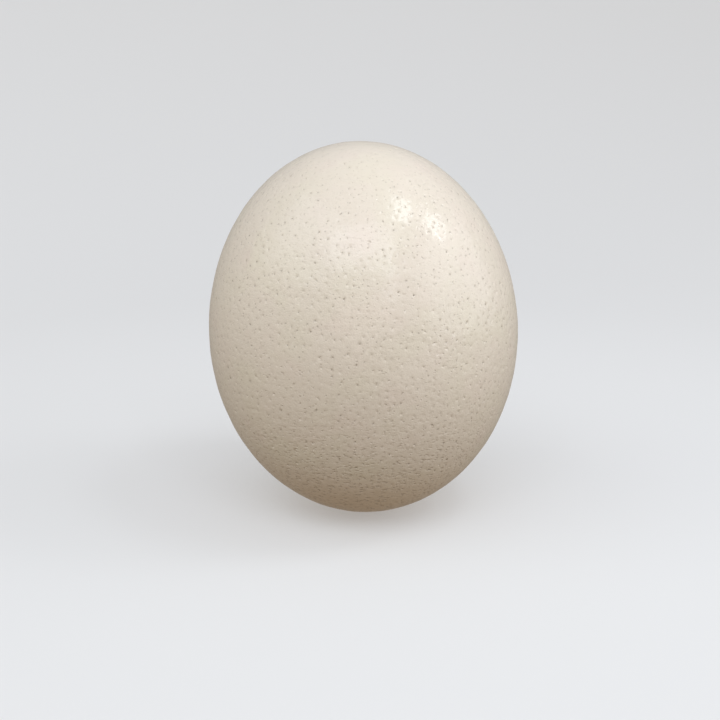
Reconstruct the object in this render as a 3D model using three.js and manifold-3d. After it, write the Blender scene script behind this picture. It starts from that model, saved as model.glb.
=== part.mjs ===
// An ostrich egg: one natural piece, whole, standing on the small flat spot at its blunt end.
// Millimetres, +Z up. The origin is on the surface that the egg stands on, under its middle.

import * as THREE from "three";
import { mergeVertices } from "three/addons/utils/BufferGeometryUtils.js";
import Module from "manifold-3d";

const wasm = await Module();
wasm.setup();

// Driving dimensions
const eggLength = 150; // from end to end, before the resting spot is taken off
const eggWidth = 123.8; // across the middle
const taper = 0.0137; // the share by which the top end is slimmer and the bottom end is fuller
const leanDegrees = 2.6; // how far the long axis leans, its top towards -X
const restingSpotDepth = 0.8; // taken off the lowest point, which leaves a flat about 18 mm across

// How finely the shell's curve is cut into flat faces
const sectors = 64; // around the long axis
const rows = 40; // from the bottom end to the top end

// Shell finish
const shellColour = 0xe3dac9;
const shellRoughness = 0.42;

// The egg's outline from its bottom end to its top end, as radius and height.
// It is an ellipse whose radius is shaded off towards the top by the taper.
function eggOutline() {
  const outline = [];
  for (let row = 0; row <= rows; row += 1) {
    const latitude = Math.PI * (row / rows - 0.5);
    const upward = Math.sin(latitude);
    const atAnEnd = row === 0 || row === rows;
    const radius = atAnEnd ? 0 : (eggWidth / 2) * Math.cos(latitude) * (1 - taper * upward);
    outline.push(new THREE.Vector2(radius, (eggLength / 2) * upward));
  }
  return outline;
}

// The triangles of a merged geometry, without those that have shrunk to a line at the two ends.
function wholeTriangles(geometry) {
  const index = geometry.index.array;
  const kept = [];
  for (let corner = 0; corner < index.length; corner += 3) {
    const [a, b, c] = index.slice(corner, corner + 3);
    if (a !== b && b !== c && c !== a) {
      kept.push(a, b, c);
    }
  }
  return kept;
}

// A closed three.js geometry as a manifold solid.
function toSolid(geometry) {
  const bare = geometry.clone();
  bare.deleteAttribute("normal");
  bare.deleteAttribute("uv");
  const merged = mergeVertices(bare);
  const vertProperties = new Float32Array(merged.attributes.position.array);
  const triVerts = new Uint32Array(wholeTriangles(merged));
  return new wasm.Manifold(new wasm.Mesh({ numProp: 3, vertProperties, triVerts }));
}

// A manifold solid as a three.js geometry.
function toGeometry(solid) {
  const mesh = solid.getMesh();
  const geometry = new THREE.BufferGeometry();
  geometry.setAttribute("position", new THREE.BufferAttribute(mesh.vertProperties, 3));
  geometry.setIndex(new THREE.BufferAttribute(mesh.triVerts, 1));
  geometry.computeVertexNormals();
  return geometry;
}

// The egg about its own middle, leaned, with the lowest point cut off flat.
function eggGeometry() {
  const whole = new THREE.LatheGeometry(eggOutline(), sectors);
  whole.rotateX(Math.PI / 2);
  whole.rotateY(THREE.MathUtils.degToRad(-leanDegrees));
  whole.computeBoundingBox();

  const roomAround = 2 * eggLength;
  const aboveTheSpot = new THREE.BoxGeometry(roomAround, roomAround, roomAround);
  aboveTheSpot.translate(0, 0, whole.boundingBox.min.z + restingSpotDepth + roomAround / 2);
  return toGeometry(toSolid(whole).intersect(toSolid(aboveTheSpot)));
}

// The egg in its place: the flat on the surface, the middle of its outer box above the origin.
function ostrichEgg() {
  const shellFinish = new THREE.MeshStandardMaterial({
    color: shellColour,
    roughness: shellRoughness,
    metalness: 0,
  });
  const egg = new THREE.Mesh(eggGeometry(), shellFinish);
  egg.name = "ostrich_egg";

  egg.geometry.computeBoundingBox();
  const { min, max } = egg.geometry.boundingBox;
  egg.position.set(-(min.x + max.x) / 2, -(min.y + max.y) / 2, -min.z);
  return egg;
}

const group = new THREE.Group();
group.add(ostrichEgg());

export default group;
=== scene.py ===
import math
import random

import bpy
import numpy as np
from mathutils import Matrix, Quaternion, Vector, kdtree, noise


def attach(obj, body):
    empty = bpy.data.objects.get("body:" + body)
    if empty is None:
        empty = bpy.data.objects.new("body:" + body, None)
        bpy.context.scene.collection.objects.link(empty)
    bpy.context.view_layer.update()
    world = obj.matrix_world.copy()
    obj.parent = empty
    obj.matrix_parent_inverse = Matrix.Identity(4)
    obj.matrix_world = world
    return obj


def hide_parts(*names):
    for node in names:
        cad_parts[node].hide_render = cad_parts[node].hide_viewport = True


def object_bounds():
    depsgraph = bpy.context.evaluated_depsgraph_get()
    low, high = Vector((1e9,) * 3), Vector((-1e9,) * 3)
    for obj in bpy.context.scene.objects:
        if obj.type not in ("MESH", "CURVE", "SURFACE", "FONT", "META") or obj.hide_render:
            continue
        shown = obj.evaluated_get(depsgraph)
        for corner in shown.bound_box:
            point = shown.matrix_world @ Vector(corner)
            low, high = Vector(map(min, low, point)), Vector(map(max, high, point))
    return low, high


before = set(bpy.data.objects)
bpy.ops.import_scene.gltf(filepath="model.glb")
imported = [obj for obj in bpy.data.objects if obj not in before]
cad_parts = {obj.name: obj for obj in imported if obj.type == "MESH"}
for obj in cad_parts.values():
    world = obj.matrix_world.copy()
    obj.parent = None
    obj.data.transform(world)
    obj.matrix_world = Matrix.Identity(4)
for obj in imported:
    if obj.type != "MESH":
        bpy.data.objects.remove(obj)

cadLow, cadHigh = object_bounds()  # the frame's own box, before anything is added


def clearSelection():
    if bpy.context.object and bpy.context.object.mode != "OBJECT":
        bpy.ops.object.mode_set(mode="OBJECT")
    bpy.ops.object.select_all(action="DESELECT")


def useAlone(obj):
    clearSelection()
    obj.select_set(True)
    bpy.context.view_layer.objects.active = obj


def editAll(obj):
    useAlone(obj)
    bpy.ops.object.mode_set(mode="EDIT")
    bpy.ops.mesh.select_mode(type="VERT")
    bpy.ops.mesh.select_all(action="SELECT")


def leaveEdit():
    bpy.ops.object.mode_set(mode="OBJECT")


def applyModifier(obj, modifier):
    useAlone(obj)
    bpy.ops.object.modifier_apply(modifier=modifier.name)


def vertexPlaces(obj):
    flat = np.empty(len(obj.data.vertices) * 3)
    obj.data.vertices.foreach_get("co", flat)
    return flat.reshape(-1, 3)


# the bare egg, a stretched ball with a slightly slimmer top

egg = {
    "length": 0.150,  # end to end, before the resting spot
    "width": 0.1238,
    "taper": 0.0137,  # share that the top is slimmer by
    "lean": math.radians(2.6),  # top towards -X
    "spotDepth": 0.0008,  # taken off the lowest point
    "fineness": 7,  # subdivisions of the ball
    "scatter": 0.0045,  # on a ball of radius 1, breaks up the even net of points
    # unevenness of the shell, from slow waves to orange peel: how wide and how high each is
    "waves": ((0.030, 0.00022), (0.011, 0.00014), (0.0046, 0.00014)),
    "seed": 4,
}


def roundEgg():
    clearSelection()
    bpy.ops.mesh.primitive_ico_sphere_add(subdivisions=egg["fineness"], radius=1)
    shell = bpy.context.object
    shell.name = "eggshell"
    editAll(shell)
    bpy.ops.transform.vertex_random(offset=egg["scatter"], uniform=1, seed=egg["seed"])
    leaveEdit()

    back = shell.modifiers.new("backOnTheBall", "CAST")
    back.factor = 1
    back.size = 1
    applyModifier(shell, back)

    editAll(shell)
    halfWidth, halfLength = egg["width"] / 2, egg["length"] / 2
    bpy.ops.transform.resize(value=(halfWidth, halfWidth, halfLength), center_override=(0, 0, 0))
    leaveEdit()

    slim = shell.modifiers.new("slimTop", "SIMPLE_DEFORM")
    slim.deform_method = "TAPER"
    slim.deform_axis = "Z"
    slim.factor = -2 * egg["taper"]
    applyModifier(shell, slim)
    return shell


def standEgg(shell):
    editAll(shell)
    bpy.ops.transform.rotate(value=egg["lean"], orient_axis="Y", center_override=(0, 0, 0))
    leaveEdit()

    # its lowest point goes as far below the floor as the resting spot will be cut
    places = vertexPlaces(shell)
    low, high = places.min(0), places.max(0)
    middle = (low + high) / 2
    editAll(shell)
    bpy.ops.transform.translate(value=(-middle[0], -middle[1], -low[2] - egg["spotDepth"]))
    leaveEdit()


def waveEgg(shell):
    for width, height in egg["waves"]:
        waves = bpy.data.textures.new("shellWaves", "CLOUDS")
        waves.noise_scale = width
        waves.noise_depth = 1
        swell = shell.modifiers.new("shellWaves", "DISPLACE")
        swell.texture = waves
        swell.texture_coords = "LOCAL"
        swell.strength = height
        swell.mid_level = 0.5
        applyModifier(shell, swell)


def cutSpot(shell):
    # with any larger threshold, flat triangles close to the cut are taken as lying on it
    editAll(shell)
    bpy.ops.mesh.bisect(plane_co=(0, 0, 0), plane_no=(0, 0, 1), threshold=0,
                        clear_inner=True, use_fill=True)
    bpy.ops.transform.resize(value=(1, 1, 0), center_override=(0, 0, 0))
    bpy.ops.mesh.mark_sharp()
    leaveEdit()


shell = roundEgg()
standEgg(shell)
waveEgg(shell)
cutSpot(shell)
print("egg shaped")

# the pits, each cut round a point of the shell

pits = {
    "seed": 21,
    "count": 6300,  # at most
    "closest": 0.0021,  # between the middles of two neighbours
    "widest": 0.0029,
    "patchSize": 0.022,  # how large the closer and the sparser patches are
    "calmFrom": 0.134,  # the pits thin out from this height to the very top
    "hollowReach": 0.0016,  # radius of the soft hollow round a pit
    "ragged": 0.24,  # how far a rim wanders, as a share of its radius
    "wallInset": 0.43,  # how far a wall leans in, as a share of the rim's radius
    "poreReach": 0.9,  # radius of the dark pore, as a share of the rim's
    # each kind's share of the pits, the radius of its rim, how deep its hollow, its wall and its
    # floor are, and how dark its pore is
    "kinds": (
        {"share": 0.08, "rim": 0.00052, "hollow": 0.0001, "wall": 0.0001, "floor": 0.00012, "dark": 0.95},
        {"share": 0.16, "rim": 0.00044, "hollow": 0.00009, "wall": 0.00008, "floor": 0.0001, "dark": 0.75},
        {"share": 0.22, "rim": 0.00037, "hollow": 0.00008, "wall": 0.00006, "floor": 0.00008, "dark": 0.52},
        {"share": 0.22, "rim": 0.00032, "hollow": 0.00007, "wall": 0, "floor": 0.00009, "dark": 0.38},
        {"share": 0.18, "rim": 0.00034, "hollow": 0.00006, "wall": 0, "floor": 0.00007, "dark": 0.27},
        {"share": 0.14, "rim": 0.00030, "hollow": 0.00005, "wall": 0, "floor": 0.00005, "dark": 0.16},
    ),
}


def boxOf(place):
    # the small box of space that a place is in, for finding its neighbours quickly
    return tuple(math.floor(part / pits["widest"]) for part in place)


def pitsNear(place, boxes):
    across, along, up = boxOf(place)
    for aside in (-1, 0, 1):
        for ahead in (-1, 0, 1):
            for above in (-1, 0, 1):
                yield from boxes.get((across + aside, along + ahead, up + above), ())


def gapAt(place, number):
    # how far a pit here stands from its neighbours, at least
    crowd = 0.5 + 0.5 * noise.noise(place / pits["patchSize"])  # 0 to 1
    spare = (pits["widest"] - pits["closest"]) * random.Random(number).random()
    return pits["closest"] + spare * crowd


def tooHigh(place, number):
    # by chance, and surer towards the top
    calm = (place.z - pits["calmFrom"]) / (cadHigh.z - pits["calmFrom"])
    return calm > random.Random(number + 1).random()


def choosePits(shell):
    # takes the points in a shuffled order and keeps those that stand clear of the pits so far
    places = vertexPlaces(shell)
    order = list(range(len(places)))
    random.Random(pits["seed"]).shuffle(order)
    boxes = {}
    chosen = []
    for number in order:
        place = Vector(places[number])
        onTheSpot = place.z < egg["spotDepth"] / 2  # or too close to its edge
        if onTheSpot or tooHigh(place, number):
            continue
        gap = gapAt(place, number)
        if all((place - other).length > gap for other in pitsNear(place, boxes)):
            boxes.setdefault(boxOf(place), []).append(place)
            chosen.append(number)
        if len(chosen) == pits["count"]:
            break
    return chosen


def sharePits(shell, chosen):
    # a vertex group for each kind, because cutting one kind renumbers the points of the others
    groups = []
    kindOfPit = []
    start = 0
    for kind in pits["kinds"]:
        last = kind is pits["kinds"][-1]
        end = len(chosen) if last else start + round(kind["share"] * len(chosen))
        group = shell.vertex_groups.new(name="pits")
        group.add(chosen[start:end], 1, "REPLACE")
        groups.append(group.name)
        kindOfPit += [kind] * (end - start)
        start = end
    return groups, kindOfPit


def cutPits(shell, group, kind):
    editAll(shell)
    bpy.ops.mesh.select_all(action="DESELECT")
    shell.vertex_groups.active = shell.vertex_groups[group]
    bpy.ops.object.vertex_group_select()
    bpy.ops.transform.shrink_fatten(value=-kind["hollow"], use_proportional_edit=True,
                                    proportional_edit_falloff="SMOOTH",
                                    proportional_size=pits["hollowReach"])
    bpy.ops.mesh.bevel(offset=kind["rim"], affect="VERTICES", clamp_overlap=True)
    bpy.ops.transform.vertex_random(offset=kind["rim"] * pits["ragged"], uniform=1, seed=pits["seed"])
    bpy.ops.mesh.select_mode(type="FACE")
    if kind["wall"]:
        # an even offset would throw a point far off where a ragged rim has a sharp corner
        bpy.ops.mesh.inset(thickness=kind["rim"] * pits["wallInset"], depth=-kind["wall"],
                           use_individual=True, use_even_offset=False)
    bpy.ops.mesh.poke(offset=-kind["floor"])
    leaveEdit()


def markPores(shell, middles, kindOfPit):
    # how dark each point is: darkest in the middle of a pit, and less towards its rim
    tree = kdtree.KDTree(len(middles))
    for number, middle in enumerate(middles):
        tree.insert(middle, number)
    tree.balance()
    heart = Vector((0, 0, cadHigh.z / 2))
    darkness = []
    for vertex in shell.data.vertices:
        middle, number, distance = tree.find(vertex.co)
        outward = (middle - heart).normalized()
        aside = vertex.co - middle
        aside -= outward * aside.dot(outward)
        kind = kindOfPit[number]
        darkness.append(kind["dark"] * max(0, 1 - aside.length / (kind["rim"] * pits["poreReach"])))
    layer = shell.data.attributes.new("pore", "FLOAT", "POINT")
    layer.data.foreach_set("value", darkness)


chosen = choosePits(shell)
middles = vertexPlaces(shell)[chosen]
groups, kindOfPit = sharePits(shell, chosen)
for group, kind in zip(groups, pits["kinds"]):
    cutPits(shell, group, kind)
shell.vertex_groups.clear()
markPores(shell, middles, kindOfPit)
useAlone(shell)
bpy.ops.object.shade_smooth()
shell.data.calc_loop_triangles()
print("pits cut:", len(chosen), "with", len(shell.data.loop_triangles), "triangles in all")

# the finish of the shell

glaze = {
    "ivory": (0.80, 0.712, 0.60, 1),
    "blush": (0.80, 0.700, 0.595, 1),
    "straw": (0.79, 0.712, 0.585, 1),
    # painted shade: the egg's colour turns darker and browner towards the bottom, standing in for the shade
    # under it
    "undersideShade": (0.75, 0.62, 0.48, 1),
    # painted shade: the dimples' hollows are painted darker, most of all low on the egg
    "dimpleShade": (0.55, 0.46, 0.355, 1),
    "poreBrown": (0.33, 0.27, 0.20, 1),
    "roughness": 0.48,
    "coat": 0.7,
    "coatRoughness": 0.16,
    "patchDetail": 2,  # how many finer noises are laid over the patches' own
    # soft patches of colour: how many to the metre, where they stand, and the part of the noise
    # that they fade in over
    "blushPatches": {"scale": 70, "shift": (0, 0, 0), "fade": (0.50, 0.70)},
    "strawPatches": {"scale": 49, "shift": (0.31, 0.12, 0.7), "fade": (0.48, 0.68)},
    "reliefUnit": 0.001,  # the relief's heights are in millimetres
    # fine relief: how many to the metre, how squashed they are, and how high
    "ripples": {"scale": 560, "squash": (0.55, 0.55, 1.35), "detail": 3, "roughness": 0.65, "height": 0.07},
    "grain": {"scale": 1900, "squash": (1, 1, 1), "detail": 2, "roughness": 0.5, "height": 0.1},
    # small dots between the pits: their least and largest radius are shares of the space
    # between them
    "flecks": {"scale": 620, "squash": (1, 1, 1), "scatter": 1, "radii": (0, 0.35), "depth": 0.135},
    "dimples": {"scale": 800, "squash": (0.62, 0.8, 1.2), "scatter": 0.85, "radii": (0.2, 0.6),
                "depth": 0.085},
    # what changes up the egg: from one height to another, and the value at each
    "topCalm": ((0.132, 0.146), (1, 0.35)),
    "undersideShadeShare": ((0.004, 0.034), (1, 0)),
    "dimpleStrength": ((0.004, 0.056), (5.4, 0.45)),
    "dimpleShadeShare": ((0.008, 0.055), (1, 0.15)),
    "fleckDark": ((0.020, 0.100), (0.2, 0.5)),
}


def fillSocket(tree, socket, value):
    if isinstance(value, bpy.types.NodeSocket):
        tree.links.new(value, socket)
    else:
        socket.default_value = value


def addNode(tree, kind, inputs=(), **settings):
    made = tree.nodes.new(kind)
    for name, value in settings.items():
        setattr(made, name, value)
    for name, value in dict(inputs).items():
        fillSocket(tree, made.inputs[name], value)
    return made


def mixColours(tree, share, start, end):
    mix = addNode(tree, "ShaderNodeMix", data_type="RGBA")
    colourInputs = [socket for socket in mix.inputs if socket.type == "RGBA"]
    fillSocket(tree, mix.inputs["Factor"], share)
    fillSocket(tree, colourInputs[0], start)
    fillSocket(tree, colourInputs[1], end)
    return next(socket for socket in mix.outputs if socket.type == "RGBA")


def calculate(tree, operation, *values):
    node = addNode(tree, "ShaderNodeMath", operation=operation)
    for socket, value in zip(node.inputs, values):
        fillSocket(tree, socket, value)
    return node.outputs["Value"]


def fade(tree, value, reach, ends, softness="LINEAR"):
    inputs = {"Value": value, "From Min": reach[0], "From Max": reach[1],
              "To Min": ends[0], "To Max": ends[1]}
    return addNode(tree, "ShaderNodeMapRange", inputs, interpolation_type=softness).outputs["Result"]


def patches(tree, place, look):
    moved = addNode(tree, "ShaderNodeMapping", {"Vector": place, "Location": look["shift"]})
    inputs = {"Vector": moved.outputs["Vector"], "Scale": look["scale"], "Detail": glaze["patchDetail"]}
    noisy = addNode(tree, "ShaderNodeTexNoise", inputs).outputs["Fac"]
    return fade(tree, noisy, look["fade"], (0, 1))


def bumps(tree, place, look):
    squashed = addNode(tree, "ShaderNodeMapping", {"Vector": place, "Scale": look["squash"]})
    inputs = {"Vector": squashed.outputs["Vector"], "Scale": look["scale"], "Detail": look["detail"],
              "Roughness": look["roughness"]}
    noisy = addNode(tree, "ShaderNodeTexNoise", inputs).outputs["Fac"]
    return calculate(tree, "MULTIPLY", noisy, look["height"])


def dots(tree, place, look):
    # round dots of many sizes, 1 in the middle of each and 0 between them
    squashed = addNode(tree, "ShaderNodeMapping", {"Vector": place, "Scale": look["squash"]})
    inputs = {"Vector": squashed.outputs["Vector"], "Scale": look["scale"], "Randomness": look["scatter"]}
    cells = addNode(tree, "ShaderNodeTexVoronoi", inputs)
    chance = addNode(tree, "ShaderNodeSeparateColor", {"Color": cells.outputs["Color"]}).outputs["Red"]
    least, most = look["radii"]
    radius = calculate(tree, "MULTIPLY_ADD", chance, most - least, least)
    return fade(tree, cells.outputs["Distance"], (0, radius), (1, 0), "SMOOTHSTEP")


def paintShell(tree, place, high, flecks, dimples):
    colour = mixColours(tree, patches(tree, place, glaze["blushPatches"]), glaze["ivory"], glaze["blush"])
    colour = mixColours(tree, patches(tree, place, glaze["strawPatches"]), colour, glaze["straw"])
    # painted shade: darker and browner towards the bottom
    colour = mixColours(tree, fade(tree, high, *glaze["undersideShadeShare"]), colour, glaze["undersideShade"])
    # painted shade in the dimples' hollows, stronger towards the bottom
    share = calculate(tree, "MULTIPLY", dimples, fade(tree, high, *glaze["dimpleShadeShare"]))
    colour = mixColours(tree, share, colour, glaze["dimpleShade"])
    pore = addNode(tree, "ShaderNodeAttribute", attribute_name="pore").outputs["Fac"]
    stain = calculate(tree, "MULTIPLY_ADD", flecks, fade(tree, high, *glaze["fleckDark"]), pore)
    stain = calculate(tree, "MULTIPLY", stain, fade(tree, high, *glaze["topCalm"]))
    return mixColours(tree, stain, colour, glaze["poreBrown"])


def shellRelief(tree, place, high, flecks, dimples):
    ripples, grain = bumps(tree, place, glaze["ripples"]), bumps(tree, place, glaze["grain"])
    height = calculate(tree, "ADD", ripples, grain)
    height = calculate(tree, "MULTIPLY_ADD", flecks, -glaze["flecks"]["depth"], height)
    deep = calculate(tree, "MULTIPLY", dimples, -glaze["dimples"]["depth"])
    height = calculate(tree, "MULTIPLY_ADD", deep, fade(tree, high, *glaze["dimpleStrength"]), height)
    height = calculate(tree, "MULTIPLY", height, fade(tree, high, *glaze["topCalm"]))
    inputs = {"Height": height, "Distance": glaze["reliefUnit"], "Strength": 1}
    return addNode(tree, "ShaderNodeBump", inputs).outputs["Normal"]


def makeGlaze():
    material = bpy.data.materials.new("glazedShell")
    material.use_nodes = True
    tree = material.node_tree
    body = tree.nodes["Principled BSDF"]
    place = addNode(tree, "ShaderNodeTexCoord").outputs["Object"]
    high = addNode(tree, "ShaderNodeSeparateXYZ", {"Vector": place}).outputs["Z"]
    flecks = dots(tree, place, glaze["flecks"])
    dimples = dots(tree, place, glaze["dimples"])
    tree.links.new(paintShell(tree, place, high, flecks, dimples), body.inputs["Base Color"])
    tree.links.new(shellRelief(tree, place, high, flecks, dimples), body.inputs["Normal"])
    body.inputs["Roughness"].default_value = glaze["roughness"]
    body.inputs["Coat Weight"].default_value = glaze["coat"]
    body.inputs["Coat Roughness"].default_value = glaze["coatRoughness"]
    return material


shell.data.materials.append(makeGlaze())
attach(shell, "root")
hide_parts("ostrich_egg")
print("shell glazed")

# the studio

studio = {
    "floorRadius": 0.4,
    "floorSides": 96,
    "bend": 0.7,  # radius of the curve that the floor rises in, all round
    "bendSteps": 12,
    "floorGrey": (0.52, 0.52, 0.52, 1),
    "floorRoughness": 0.9,
    "floorGloss": 0.2,
    "floorGlow": 0.28,  # light of its own, which evens out the floor and its wall
    # the room's own light, by height: from below, from all round at eye level, and from above
    "room": {"below": (0.22, 0.154, 0.094, 1),
             "level": (0.406, 0.383, 0.349, 1),
             "above": (0.45, 0.459, 0.495, 1)},
    "aim": (0, 0, 0.075),
    "spread": math.radians(130),  # keeps the edge of a lamp's light off the floor
    # each lamp's direction round the egg and height above the horizon, in degrees, and how far
    # away it is; then how wide and tall it is, how many degrees it is turned, and its light
    "lamps": {
        "front": {"round": 0, "up": 50, "away": 1.55, "size": (1.26, 0.7), "spin": 0,
                  "watts": 3.7, "colour": (0.88, 0.92, 1)},
        "left": {"round": -62, "up": 45, "away": 1.55, "size": (1.6, 1.2), "spin": 0,
                 "watts": 3.45, "colour": (0.862, 0.929, 1)},
        "sheen": {"round": -80, "up": 27, "away": 1.55, "size": (1.5, 0.9), "spin": 20,
                  "watts": 0.77, "colour": (1, 1, 0.7)},
        "right": {"round": 80, "up": 20, "away": 1.7, "size": (2.2, 1.3), "spin": 0,
                  "watts": 6.65, "colour": (0.922, 0.965, 1)},
        "low": {"round": 0, "up": 14, "away": 1.7, "size": (1.12, 0.56), "spin": 0,
                "watts": 0.7, "colour": (1, 0.85, 0.67)},
        "glintOne": {"round": 66.1, "up": 62.6, "away": 0.65, "size": (0.2, 0.11), "spin": 32,
                     "watts": 0.215, "colour": (0.85, 0.93, 1)},
        "glintTwo": {"round": 84.2, "up": 45.2, "away": 0.70, "size": (0.17, 0.14), "spin": 22,
                     "watts": 0.215, "colour": (0.92, 0.96, 1)},
        "streak": {"round": 23.1, "up": 33.6, "away": 0.9, "size": (0.06, 0.45), "spin": -13.6,
                   "watts": 0.17, "colour": (0.85, 0.92, 1)},
    },
}


def floorFinish():
    material = bpy.data.materials.new("paleFloor")
    material.use_nodes = True
    body = material.node_tree.nodes["Principled BSDF"]
    body.inputs["Base Color"].default_value = studio["floorGrey"]
    body.inputs["Roughness"].default_value = studio["floorRoughness"]
    body.inputs["Specular IOR Level"].default_value = studio["floorGloss"]
    body.inputs["Emission Color"].default_value = (1, 1, 1, 1)
    body.inputs["Emission Strength"].default_value = studio["floorGlow"]
    return material


def layFloor():
    clearSelection()
    bpy.ops.mesh.primitive_circle_add(vertices=studio["floorSides"], radius=studio["floorRadius"],
                                      fill_type="TRIFAN")
    floor = bpy.context.object
    floor.name = "floor"
    editAll(floor)
    bpy.ops.mesh.region_to_loop()  # only the rim stays selected
    radius, height = studio["floorRadius"], 0
    for step in range(1, studio["bendSteps"] + 1):
        turn = math.pi / 2 * step / studio["bendSteps"]
        newRadius = studio["floorRadius"] + studio["bend"] * math.sin(turn)
        newHeight = studio["bend"] * (1 - math.cos(turn))
        bpy.ops.mesh.extrude_region_move(TRANSFORM_OT_translate={"value": (0, 0, newHeight - height)})
        wider = newRadius / radius
        bpy.ops.transform.resize(value=(wider, wider, 1), center_override=(0, 0, 0))
        radius, height = newRadius, newHeight
    leaveEdit()
    bpy.ops.object.shade_smooth()
    floor.data.materials.append(floorFinish())
    # the egg gets the room's light and not the floor's, and the floor shades nothing
    floor.visible_diffuse = False
    floor.visible_glossy = False
    floor.visible_shadow = False


def lightRoom():
    world = bpy.data.worlds.new("paleRoom")
    bpy.context.scene.world = world
    world.use_nodes = True
    tree = world.node_tree
    way = addNode(tree, "ShaderNodeTexCoord").outputs["Generated"]
    height = addNode(tree, "ShaderNodeSeparateXYZ", {"Vector": way}).outputs["Z"]
    ramp = addNode(tree, "ShaderNodeValToRGB", {"Fac": fade(tree, height, (-1, 1), (0, 1))})
    ramp.color_ramp.elements.new(0.5)
    for stop, colour in zip(ramp.color_ramp.elements, studio["room"].values()):
        stop.color = colour
    tree.links.new(ramp.outputs["Color"], tree.nodes["Background"].inputs["Color"])


def hangLamp(name, lamp):
    # 0 degrees round is in front of the egg, and 90 to its right
    turn, up = math.radians(lamp["round"]), math.radians(lamp["up"])
    outward = Vector((math.sin(turn) * math.cos(up), -math.cos(turn) * math.cos(up), math.sin(up)))
    clearSelection()
    bpy.ops.object.light_add(type="AREA", location=Vector(studio["aim"]) + outward * lamp["away"])
    made = bpy.context.object
    made.name = name
    made.data.shape = "RECTANGLE"
    made.data.size, made.data.size_y = lamp["size"]
    made.data.energy = lamp["watts"]
    made.data.color = lamp["colour"]
    made.data.spread = studio["spread"]
    spin = Quaternion((0, 0, 1), math.radians(lamp["spin"]))
    made.rotation_euler = ((-outward).to_track_quat("-Z", "Y") @ spin).to_euler()


layFloor()
lightRoom()
for name, lamp in studio["lamps"].items():
    hangLamp(name, lamp)
bpy.context.scene.view_settings.view_transform = "Standard"
print("studio lit")

shot = {
    "distance": 0.450,
    "elevation": math.radians(14),  # of the camera above the egg's middle
    "dip": math.radians(15.57),  # how far its line of sight points down
    "turn": math.radians(-0.18),
    "focalPixels": 1111,
    "framePixels": 720,
    "sensor": 36,  # millimetres
    "clipStart": 0.01,
}


def setCamera():
    middle = Vector((0, 0, (cadHigh.z - egg["spotDepth"]) / 2))
    elevation, dip, turn = shot["elevation"], shot["dip"], shot["turn"]
    back = Vector((0, -math.cos(elevation), math.sin(elevation)))
    sight = Vector((math.sin(turn) * math.cos(dip), math.cos(turn) * math.cos(dip), -math.sin(dip)))
    clearSelection()
    bpy.ops.object.camera_add(location=middle + back * shot["distance"])
    camera = bpy.context.object
    camera.rotation_euler = sight.to_track_quat("-Z", "Y").to_euler()
    camera.data.sensor_width = shot["sensor"]
    camera.data.lens = shot["sensor"] * shot["focalPixels"] / shot["framePixels"]
    camera.data.clip_start = shot["clipStart"]
    bpy.context.scene.camera = camera


setCamera()
print("camera set")
